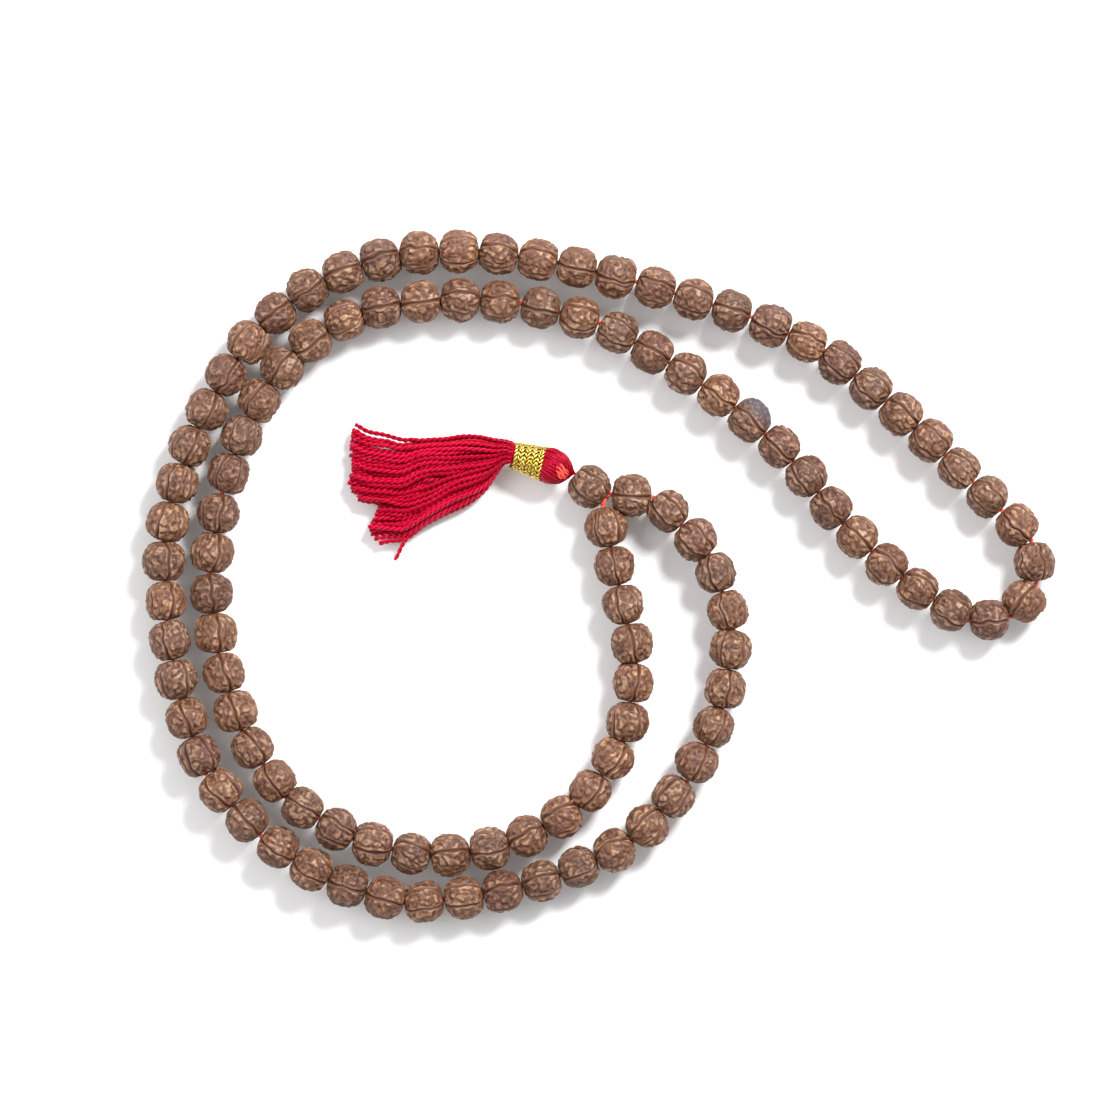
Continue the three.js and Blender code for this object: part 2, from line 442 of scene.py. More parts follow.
@dataclass
class MeshParts:
    """Points, faces and point numbers gathered from several swept bodies."""

    points: list[Array] = field(default_factory=list)
    faces: list[tuple[int, ...]] = field(default_factory=list)
    values: dict[str, list[Array]] = field(default_factory=dict)
    count: int = 0

    def add(
        self, points: Array, faces: Iterable[tuple[int, ...]], **values: Array
    ) -> None:
        """Add one body with its per-point values."""
        self.points.append(points)
        self.faces.extend(tuple(i + self.count for i in face) for face in faces)
        for key, value in values.items():
            self.values.setdefault(key, []).append(value)
        self.count += len(points)

    def mesh(self, name: str) -> Mesh:
        """One smooth mesh of everything gathered."""
        points = np.concatenate(self.points)
        made = bpy.data.meshes.new(name)
        made.from_pydata(points.tolist(), [], self.faces)
        for key, parts in self.values.items():
            layer = made.attributes.new(key, "FLOAT", "POINT")
            layer.data.foreach_set("value", np.concatenate(parts).astype(np.float32))
        made.polygons.foreach_set("use_smooth", np.ones(len(made.polygons), bool))
        made.update()
        return made


def put(name: str, mesh: Mesh, material: Material) -> bpy.types.Object:
    """A named object of a mesh in a finish, linked to the scene."""
    if not mesh.materials:
        mesh.materials.append(material)
    made = bpy.data.objects.new(name, mesh)
    bpy.context.scene.collection.objects.link(made)
    return made


def carried_frames(path: Array) -> tuple[Array, Array]:
    """Two directions across a path at each point, carried along it without twisting."""
    tangent = np.gradient(path, axis=0)
    tangent /= np.linalg.norm(tangent, axis=1, keepdims=True)
    side = np.empty_like(path)
    previous = np.array([0.0, 0.0, 1.0])
    if abs(tangent[0] @ previous) > NEARLY_ALONG:
        previous = np.array([0.0, 1.0, 0.0])
    for i, along in enumerate(tangent):
        previous = previous - along * (along @ previous)
        previous /= np.linalg.norm(previous)
        side[i] = previous
    return side, np.cross(tangent, side)


def arc_lengths(path: Array) -> Array:
    """How far along a path each of its points lies."""
    return np.concatenate([[0.0], np.cumsum(np.linalg.norm(np.diff(path, axis=0), axis=1))])


def respaced(path: Array, step: float) -> Array:
    """The same path with points an even distance apart."""
    along = arc_lengths(path)
    places = np.linspace(0.0, along[-1], max(4, int(along[-1] / step) + 1))
    return np.stack([np.interp(places, along, path[:, k]) for k in range(3)], axis=1)


def smooth_curve(points: Sequence[Sequence[float]], per_leg: int = 24) -> Array:
    """A centripetal Catmull-Rom curve through given points of any dimension."""
    knots = np.array(points, float)
    knots = np.vstack([2 * knots[0] - knots[1], knots, 2 * knots[-1] - knots[-2]])
    legs = []
    for p0, p1, p2, p3 in zip(knots, knots[1:], knots[2:], knots[3:]):
        t1 = math.sqrt(np.linalg.norm(p1 - p0))
        t2 = t1 + math.sqrt(np.linalg.norm(p2 - p1))
        t3 = t2 + math.sqrt(np.linalg.norm(p3 - p2))
        t = np.linspace(t1, t2, per_leg, endpoint=False)[:, None]
        a1 = (t1 - t) / t1 * p0 + t / t1 * p1
        a2 = (t2 - t) / (t2 - t1) * p1 + (t - t1) / (t2 - t1) * p2
        a3 = (t3 - t) / (t3 - t2) * p2 + (t - t2) / (t3 - t2) * p3
        b1 = (t2 - t) / t2 * a1 + t / t2 * a2
        b2 = (t3 - t) / (t3 - t1) * a2 + (t - t1) / (t3 - t1) * a3
        legs.append((t2 - t) / (t2 - t1) * b1 + (t - t1) / (t2 - t1) * b2)
    return np.vstack([*legs, knots[-2][None]])


@dataclass(frozen=True)
class Thread:
    """A twisted thread: how thick it is and how its plies turn round each other."""

    radius: float
    plies: int = 2
    twist: float = 1.8 * MM
    sides: int = 7
    hand: int = 1
    ply_radius: float = 0.60
    ply_offset: float = 0.42

    def sweep(
        self,
        parts: MeshParts,
        path: Array,
        girth: Array | None = None,
        phase: float = 0.0,
        tone: float = 0.5,
    ) -> None:
        """Lay the thread's plies along a path.

        Args:
            parts: What the plies are added to.
            path: The thread's centreline.
            girth: The thread's thickness at each point as a share of its full one.
            phase: Where the first ply starts, in radians.
            tone: How light the thread is dyed, 0.5 being usual.
        """
        along = arc_lengths(path)
        girth = np.ones(len(path)) if girth is None else girth
        side, lift = carried_frames(path)
        radius = (self.radius * girth)[:, None]
        ply_radius = self.ply_radius * radius
        turned = phase + self.hand * TAU * along / self.twist
        for ply in range(self.plies):
            angle = turned + TAU * ply / self.plies
            out = np.cos(angle)[:, None] * side + np.sin(angle)[:, None] * lift
            self.tube(parts, path + self.ply_offset * radius * out, ply_radius, out, along, tone)

    def tube(
        self,
        parts: MeshParts,
        path: Array,
        radius: Array,
        out: Array,
        along: Array,
        tone: float,
    ) -> None:
        """One closed round ply, its values telling how far out each point stands."""
        side, lift = carried_frames(path)
        angle = np.arange(self.sides) * TAU / self.sides
        across = (
            np.cos(angle)[None, :, None] * side[:, None, :]
            + np.sin(angle)[None, :, None] * lift[:, None, :]
        )
        rings = path[:, None, :] + radius[:, :, None] * across
        crest = 0.5 + 0.5 * np.einsum("rsk,rk->rs", across, out)
        rows = len(path)
        points = rings.reshape(-1, 3)
        parts.add(
            points,
            tube_faces(rows, self.sides),
            along=np.repeat(along / MM, self.sides),
            around=np.tile(np.arange(self.sides) / self.sides, rows),
            crest=crest.reshape(-1),
            tone=np.full(len(points), tone),
        )


# The string.


@dataclass
class BeadString:
    """The one coral thread: twice through the guru bead and once round the loop."""

    body: str = "string"
    node: str = "thread"
    corner: float = 0.9 * MM
    corner_steps: int = 6
    mouth: float = 0.1 * MM
    step: float = 0.28 * MM
    search_steps: int = 24
    thread: Thread = Thread(THREAD_RADIUS, twist=1.9 * MM, sides=6)
    ends: Array = field(init=False)
    pitch: float = field(init=False)

    def __post_init__(self) -> None:
        """Work out where each group's straight length of string starts and ends."""
        track = smooth_curve([(x - PLAN_CENTRE[0], y - PLAN_CENTRE[1]) for x, y in ROUTE], 100)
        low, high = PITCH_RANGE
        for _ in range(self.search_steps):
            middle = (low + high) / 2
            low, high = (low, middle) if self.walk(track, middle) is None else (middle, high)
        self.pitch = low
        self.ends = self.walk(track, low)

    @staticmethod
    def walk(track: Array, pitch: float) -> Array | None:
        """Every group's ends along the route at one bead pitch.

        Args:
            track: The route's points.
            pitch: How far apart the beads of a group stand.

        Returns:
            The ends, or None if the route is too short.
        """
        ends = [track[0]]
        here = 0
        first_bead = 1
        for count in GROUPS:
            reach = count * pitch + SLACK.get(first_bead, 0.0) * MM
            away = np.linalg.norm(track[here:] - ends[-1], axis=1)
            beyond = np.argmax(away >= reach)
            if away[beyond] < reach:
                return None
            here += int(beyond) - 1
            share = (reach - away[beyond - 1]) / (away[beyond] - away[beyond - 1])
            ends.append(track[here] + share * (track[here + 1] - track[here]))
            first_bead += count
        return np.array(ends)

    def centreline(self) -> Array:
        """The string's whole path, its corners between the beads rounded."""
        out = np.array([math.cos(GURU_TURN), math.sin(GURU_TURN)])
        centre = np.array(GURU_CENTRE) - PLAN_CENTRE
        tip_side = centre + out * (BEAD_HALF_LENGTH - self.mouth)
        mouth_side = centre - out * (BEAD_HALF_LENGTH + self.mouth)
        knots = [
            (*tip_side, STRAND_OFFSET),
            (*mouth_side, STRAND_OFFSET),
            *((*end, 0.0) for end in self.ends),
            (*mouth_side, -STRAND_OFFSET),
            (*tip_side, -STRAND_OFFSET),
        ]
        knots = np.array(knots) + [0.0, 0.0, AXIS_HEIGHT]
        path = [knots[0]]
        for before, knot, after in zip(knots, knots[1:], knots[2:]):
            back = before - knot
            on = after - knot
            cut = min(self.corner, 0.4 * np.linalg.norm(back), 0.4 * np.linalg.norm(on))
            enter = knot + back / np.linalg.norm(back) * cut
            leave = knot + on / np.linalg.norm(on) * cut
            for t in np.linspace(0.0, 1.0, self.corner_steps):
                path.append((1 - t) ** 2 * enter + 2 * t * (1 - t) * knot + t * t * leave)
        path.append(knots[-1])
        return respaced(np.array(path), self.step)

    def build(self, finish: Material) -> None:
        """Lay the string as one piece that rides on its own body."""
        path = self.centreline()
        parts = MeshParts()
        self.thread.sweep(parts, path)
        piece = put("coral_string", parts.mesh("coral_string"), finish)
        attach(piece, self.body)
        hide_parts(self.node)


# The seeds.


@dataclass(frozen=True)
class Wrinkles:
    """A labyrinth of ridges: many waves of nearly one length, running mostly from pole to pole."""

    seed: int
    wavelength: float
    stretch: float = 0.6
    waves: int = 56

    def heights(self, points: Array) -> Array:
        """The ridges' height at each point, with a spread of about one."""
        rng = np.random.default_rng(self.seed)
        direction = rng.normal(size=(self.waves, 3))
        direction[:, 0] *= self.stretch
        direction /= np.linalg.norm(direction, axis=1, keepdims=True)
        size = TAU / self.wavelength * rng.uniform(0.88, 1.12, self.waves)
        phase = rng.uniform(0, TAU, self.waves)
        waves = np.cos(points @ (direction * size[:, None]).T + phase)
        return waves.sum(axis=1) / math.sqrt(self.waves / 2)


@dataclass(frozen=True)
class SeedShape:
    """One wrinkled five-faced seed with a bore from pole to pole, its axis along X."""

    seed: int
    bore: float = 0.68 * MM
    radius: float = BEAD_RADIUS
    half_length: float = 3.78 * MM
    fullness: float = 2.3
    faces: int = 5
    columns: int = 156
    rows: int = 84
    bore_rows: int = 6
    ridge_height: float = 0.18 * MM
    ridge_gain: float = 1.9
    ridge_floor: float = 0.85
    furrow_width: float = 0.22
    lump_height: float = 0.075 * MM
    warp: float = 0.14 * MM
    seam_depth: float = 0.36 * MM
    seam_width: float = 0.17 * MM
    seam_margin: float = 0.25 * MM
    seam_fade: float = 0.45 * MM
    seam_scatter: float = 0.12
    seam_wander: float = 0.045
    welt_place: float = 0.48 * MM
    welt_width: float = 0.2 * MM
    welt_height: float = 0.75
    bore_girth: float = 0.92
    bore_length: float = 0.97
    bore_shade: float = 0.1

    def ball(self, polar: Array, around: Array) -> Array:
        """The seed's plain form.

        Args:
            polar: The angle of each ring of points from the bore's line.
            around: The angle of each point in a ring.

        Returns:
            The points, ring by ring.
        """
        round_off = 2 / self.fullness
        out = np.sin(polar) ** round_off
        lengthwise = -np.sign(np.cos(polar)) * np.abs(np.cos(polar)) ** round_off
        return np.stack(
            [
                lengthwise * np.ones_like(around) * self.half_length,
                out * np.cos(around) * self.radius,
                out * np.sin(around) * self.radius,
            ],
            axis=-1,
        )

    def wrinkles(self, points: Array, salt: int, wave: float, stretch: float) -> Array:
        """One of the seed's own labyrinths.

        Args:
            points: Where it is measured.
            salt: What sets it apart from the seed's other labyrinths.
            wave: Its wavelength in millimetres.
            stretch: How much its waves point along the bore.

        Returns:
            Its heights, ring by ring.
        """
        heights = Wrinkles(self.seed + salt, wave * MM, stretch).heights(points)
        return heights.reshape(self.rows, self.columns)

    def mesh(self) -> Mesh:
        """The seed's closed mesh, with a colour level at each point: low for painted shade in
        furrows, seams and bore, high for painted highlight and wear on ridges and welts.
        """
        rng = np.random.default_rng(1000 + self.seed)
        lip = math.asin((self.bore / self.radius) ** (1 / (2 / self.fullness)))
        polar = np.linspace(lip, math.pi - lip, self.rows)[:, None]
        around = np.linspace(0, TAU, self.columns, endpoint=False)[None, :]
        ball = self.ball(polar, around)
        flat = ball.reshape(-1, 3)
        lumps = self.wrinkles(flat, 50, 5.2, 1.0)
        drift = self.wrinkles(flat, 90, 3.4, 1.0)
        warp = flat + self.warp * np.stack(
            [Wrinkles(self.seed + k, 2.4 * MM).heights(flat) for k in (1, 2, 3)], axis=1
        )
        worms = self.wrinkles(warp, 10, 2.0, 0.65)
        breaks = self.wrinkles(flat, 30, 1.3, 1.0)
        pits = self.wrinkles(flat, 20, 0.75, 0.9)

        start = rng.uniform(0, TAU)
        seams = start + np.arange(self.faces) * TAU / self.faces
        seams = seams + rng.uniform(-self.seam_scatter, self.seam_scatter, self.faces)
        wander = self.seam_wander * drift
        nearest = np.full_like(worms, math.pi)
        for seam in seams:
            gap = np.abs((around - seam + wander + math.pi) % (TAU) - math.pi)
            nearest = np.minimum(nearest, gap)
        reach = nearest * self.radius * np.sin(polar)
        clear = np.clip((reach - self.seam_margin) / self.seam_fade, 0, 1)
        fade = np.clip((np.sin(polar) - 0.24) / 0.3, 0, 1)

        ridges = np.maximum(np.abs(worms) - self.furrow_width + 0.32 * breaks, 0)
        ridges = self.ridge_gain * np.tanh(ridges) - self.ridge_floor
        ridges = ridges + 0.28 * np.tanh(1.5 * pits)
        seam = -np.exp(-((reach / self.seam_width) ** 2))
        welt = np.exp(-(((reach - self.welt_place) / self.welt_width) ** 2))
        height = (
            self.ridge_height * ridges * clear * fade
            + self.seam_depth * seam * fade
            + self.welt_height * self.ridge_height * welt * fade
            + self.lump_height * lumps * (0.2 + 0.8 * fade)
            + 0.02 * self.radius * (np.cos(self.faces * (around - start)) * -0.6) * fade
        )
        # Colour level, partly wear and partly painted light: painted shade in the furrows and
        # seams, painted highlight on the ridge tops and welts.
        relief = 0.46 + 0.38 * ridges * clear * fade + 0.55 * seam * fade + 0.30 * welt * fade
        normal = ball / np.array([self.half_length, self.radius, self.radius]) ** 2
        normal /= np.linalg.norm(normal, axis=2, keepdims=True)
        outer = ball + height[:, :, None] * normal

        poles = outer[-1, :, 0].mean(), outer[0, :, 0].mean()
        inner_x = np.linspace(*poles, self.bore_rows + 2)[1:-1, None]
        inner = np.stack(
            [
                np.repeat(inner_x * self.bore_length, self.columns, axis=1),
                np.repeat(self.bore_girth * self.bore * np.cos(around), self.bore_rows, axis=0),
                np.repeat(self.bore_girth * self.bore * np.sin(around), self.bore_rows, axis=0),
            ],
            axis=-1,
        )
        parts = MeshParts()
        rings = np.concatenate([outer, inner])
        # The bore's points get a low level: painted shade inside the bore.
        values = np.concatenate([np.clip(relief, 0, 1), np.full(inner.shape[:2], self.bore_shade)])
        faces = grid_faces(len(rings), self.columns, True)
        parts.add(rings.reshape(-1, 3), faces, relief=values.reshape(-1))
        return parts.mesh(f"seed_{self.seed:02d}")


class Tone(Enum):
    """How a seed's skin has aged, as a tint over its finish."""

    TAN = (1.14, 1.10, 1.02)
    RUSSET = (1.04, 0.97, 0.92)
    BROWN = (0.97, 0.97, 0.97)
    PLUM = (0.90, 0.84, 0.85)


@dataclass
class CountingBeads:
    """The 108 seeds on the loop, each riding on the group that it turns with."""

    string: BeadString
    kinds: int = 14
    # The seeds painted with a shadow down one side.
    shadowed: tuple[int, ...] = (41,)
    size_spread: tuple[float, float] = (-0.045, 0.025)
    tint_spread: tuple[float, float] = (0.84, 1.01)
    tone_weights: tuple[float, ...] = (0.28, 0.26, 0.26, 0.2)

    def build(self, finish: Material, shadowed: Material) -> int:
        """Set every seed on the string.

        Args:
            finish: The ordinary seed skin.
            shadowed: The skin of the few seeds with a painted shadow down one side.

        Returns:
            How many seeds were set.
        """
        rng = np.random.default_rng(7)
        shapes = [SeedShape(100 + k).mesh() for k in range(self.kinds)]
        shadowed_shape = SeedShape(150).mesh()
        tones = list(Tone)
        first = 1
        for index, count in enumerate(GROUPS):
            start, stop = self.string.ends[index], self.string.ends[index + 1]
            turn = math.atan2(*(stop - start)[::-1])
            single = count == 1
            node = f"bead_{first:03d}" if single else f"beads_{first:03d}_{first + count - 1:03d}"
            for k in range(count):
                number = first + k
                along = (k - (count - 1) / 2) * self.string.pitch
                centre = (start + stop) / 2 + along * np.array([math.cos(turn), math.sin(turn)])
                # A seed in that list takes the painted-shadow skin and no roll, so its painted
                # shadow keeps to one side.
                in_shadow = number in self.shadowed
                shape = shadowed_shape if in_shadow else shapes[rng.integers(self.kinds)]
                bead = put(f"seed_bead_{number:03d}", shape, shadowed if in_shadow else finish)
                size = 1 + rng.uniform(*self.size_spread)
                roll = 0.0 if in_shadow else rng.uniform(0, TAU)
                bead.matrix_world = seed_place(centre, turn, roll, rng.random() < 0.5, size)
                tint = np.array(tones[rng.choice(len(tones), p=self.tone_weights)].value)
                bead.color = (*(tint * rng.uniform(*self.tint_spread)), 1.0)
                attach(bead, f"{node}_on_string")
                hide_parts(node)
            first += count
        return first - 1


def seed_place(centre: Array, turn: float, roll: float, flip: bool, size: float) -> Matrix:
    """Where a seed lies: on its bore's line, rolled about it, either end first.

    Args:
        centre: The seed's middle in plan.
        turn: Which way its bore points in plan, in radians.
        roll: How far it has turned about the string.
        flip: Whether it was strung the other way round.
        size: Its size as a share of the usual seed's.

    Returns:
        The seed's place.
    """
    heading = turn + (math.pi if flip else 0.0)
    spot = Matrix.Translation((centre[0], centre[1], AXIS_HEIGHT))
    along = Matrix.Scale(1 + 0.4 * (size - 1), 4, (1, 0, 0))
    across = Matrix.Scale(size, 4, (0, 1, 0)) @ Matrix.Scale(size, 4, (0, 0, 1))
    return spot @ Matrix.Rotation(heading, 4, "Z") @ Matrix.Rotation(roll, 4, "X") @ along @ across


@dataclass
class GuruBead:
    """The seed set apart where the loop's two ends meet, bored for both of them."""

    bore: float = 1.45 * MM
    radius: float = 3.9 * MM
    roll: float = 0.6
    tint: tuple[float, float, float, float] = (0.88, 0.88, 0.90, 1.0)
    body: str = "guru"
    node: str = "guru_bead"

    def build(self, finish: Material) -> None:
        """Set the guru bead as one piece."""
        shape = SeedShape(171, bore=self.bore, radius=self.radius).mesh()
        bead = put("guru_seed", shape, finish)
        bead.color = self.tint
        centre = np.array(GURU_CENTRE) - PLAN_CENTRE
        bead.matrix_world = seed_place(centre, GURU_TURN, self.roll, False, 1.0)
        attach(bead, self.body)
        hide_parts(self.node)


# The tassel.


@dataclass
class TasselLine:
    """The tassel's own line: from its tip at the guru bead, out along its head."""

    tip: tuple[float, float] = (TASSEL_TIP[0] - PLAN_CENTRE[0], TASSEL_TIP[1] - PLAN_CENTRE[1])
    turn: float = TASSEL_TURN

    def point(self, along: float, left: float = 0.0, above: float = 0.0) -> Array:
        """The point a distance along, to the left of and above the tassel's line."""
        cos, sin = math.cos(self.turn), math.sin(self.turn)
        x = self.tip[0] + along * cos - left * sin
        y = self.tip[1] + along * sin + left * cos
        return np.array([x, y, AXIS_HEIGHT + above])

    def around(self, along: Array, radius: Array, angle: Array) -> Array:
        """Points round the tassel's line, given how far along, how far out and which way."""
        steps = zip(along, radius, angle, strict=True)
        return np.array([self.point(a, r * math.cos(t), r * math.sin(t)) for a, r, t in steps])


@dataclass
class TasselHead:
    """The wrapped bullet: strands laid from its tip back to the binding, over a core."""

    line: TasselLine
    body: str = "tassel_head_and_binding"
    strands: int = 34
    lean: float = math.radians(38)
    strand_radius: float = 0.36 * MM
    strand_tone: float = 0.2
    core_gap: float = 0.26 * MM
    core_sides: int = 36
    # How far along the head and how far out, from the tip to the binding, in millimetres.
    outline: tuple[tuple[float, float], ...] = (
        *((0.0, 0.12), (0.5, 0.6), (1.0, 1.35), (1.7, 2.15), (2.5, 2.75), (3.5, 3.15)),
        *((4.7, 3.42), (5.6, 3.4), (6.3, 3.2), (6.9, 2.85)),
    )
    # The same for the core beneath the binding.
    stem: tuple[tuple[float, float], ...] = (
        *((7.4, 2.5), (9.0, 2.3), (11.0, 2.0), (12.3, 1.8), (12.6, 1.2)),
    )
    # Each coral strand's angle in degrees, and its start and end along the head in millimetres.
    coral_strands: tuple[Triple, ...] = (
        *((52, 1.4, 3.2), (66, 1.1, 3.7), (80, 1.0, 3.8), (94, 1.2, 3.4)),
    )

    def build(self, crimson: Material, coral: Material) -> None:
        """The head's core, its strands and the string's coral ends laid over its tip."""
        profile = smooth_curve(np.array(self.outline) * MM, 10)
        self.ride(put("tassel_head_core", self.core(profile), crimson))
        self.ride(put("tassel_head_strands", self.wrapping(profile), crimson))
        self.ride(put("coral_string_ends", self.string_ends(profile), coral))

    def ride(self, piece: bpy.types.Object) -> None:
        """Fix a piece to the head's body, standing for the head."""
        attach(piece, self.body)
        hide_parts("tassel_head")

    def core(self, profile: Array) -> Mesh:
        """A solid just under the strands, running on beneath the binding."""
        along, radius = np.vstack([profile[2:], np.array(self.stem) * MM]).T
        radius = np.maximum(radius - self.core_gap, 0.05 * MM)
        sides = self.core_sides
        angle = np.linspace(0, TAU, sides, endpoint=False)
        points = np.concatenate(
            [
                self.line.around(np.full(sides, a), np.full(sides, r), angle)
                for a, r in zip(along, radius, strict=True)
            ]
        )
        level = np.zeros(len(points))
        # The core sits at a low crest, so where it shows between the strands it takes the painted
        # shade colour.
        values = {"along": level, "around": level, "crest": level + 0.1, "tone": level + 0.4}
        parts = MeshParts()
        parts.add(points, tube_faces(len(along), sides), **values)
        return parts.mesh("tassel_head_core")

    def wrapping(self, profile: Array) -> Mesh:
        """The strands over the head, each leaning a little round it."""
        rng = np.random.default_rng(21)
        path = respaced(np.column_stack([profile, np.zeros(len(profile))]), 0.16 * MM)
        along, radius = path[:, 0], path[:, 1]
        share = arc_lengths(path) / arc_lengths(path)[-1]
        parts = MeshParts()
        full = self.strand_radius
        girth = np.clip(radius * math.pi / self.strands * 1.12, 0.05 * MM, full) / full
        for k in range(self.strands):
            angle = TAU * k / self.strands + self.lean * share
            angle = angle + 0.02 * np.sin(7 * share + rng.uniform(0, 6))
            out = np.maximum(radius - 0.8 * full * girth + rng.uniform(-0.04, 0.05) * MM, 0.02 * MM)
            laid = self.line.around(along, out, angle)
            strand = Thread(full, twist=9.0 * MM, sides=7)
            strand.sweep(parts, laid, girth, rng.uniform(0, 6), self.strand_tone)
        return parts.mesh("tassel_head_strands")

    def string_ends(self, profile: Array) -> Mesh:
        """The string's own strands, spread and laid down over one side of the tip."""
        parts = MeshParts()
        for degrees, start, end in self.coral_strands:
            along = np.linspace(start * MM, end * MM, 24)
            share = np.linspace(0, 1, 24)
            radius = np.interp(along, profile[:, 0], profile[:, 1]) - 0.12 * MM
            angle = math.radians(degrees) + 0.5 * (share - 0.5)
            girth = np.sqrt(np.clip(np.sin(math.pi * share), 0.04, 1))
            strand = Thread(self.strand_radius, twist=3.6 * MM, sides=7)
            strand.sweep(parts, self.line.around(along, radius, angle), girth, degrees)
        return parts.mesh("coral_string_ends")


@dataclass
class GoldBinding:
    """Two foil threads of opposite twist, wound side by side into a chevron."""

    line: TasselLine
    body: str = "tassel_head_and_binding"
    start: float = 6.45 * MM
    end: float = 12.15 * MM
    wide: float = 3.4 * MM
    narrow: float = 2.6 * MM
    turns: float = 4.5
    thread_radius: float = 0.38 * MM
    twist: float = 1.7 * MM
    samples: int = 760
    drift: float = 0.05 * MM
    unevenness: float = 0.04 * MM

    def build(self, finish: Material) -> None:
        """Wind the binding as one piece."""
        parts = MeshParts()
        share = np.linspace(0, 1, self.samples)
        for k, hand in enumerate((1, -1)):
            turned = TAU * (self.turns * share + k / 2)
            along = self.start + (self.end - self.start) * share
            along = along + self.drift * np.sin(5 * turned / math.pi + k)
            radius = self.wide + (self.narrow - self.wide) * share - self.thread_radius
            radius = radius + self.unevenness * np.sin(3.1 * turned + 2 * k)
            thread = Thread(self.thread_radius, twist=self.twist, sides=8, hand=hand)
            thread.sweep(parts, self.line.around(along, radius, turned))
        piece = put("gold_binding_coil", parts.mesh("gold_binding_coil"), finish)
        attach(piece, self.body)
        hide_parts("gold_binding")


@dataclass(frozen=True)
class Station:
    """A cross-section of the skirt: two edges in plan, middle height, half depth, all in mm."""

    upper: tuple[float, float]
    lower: tuple[float, float]
    middle: float
    depth: float


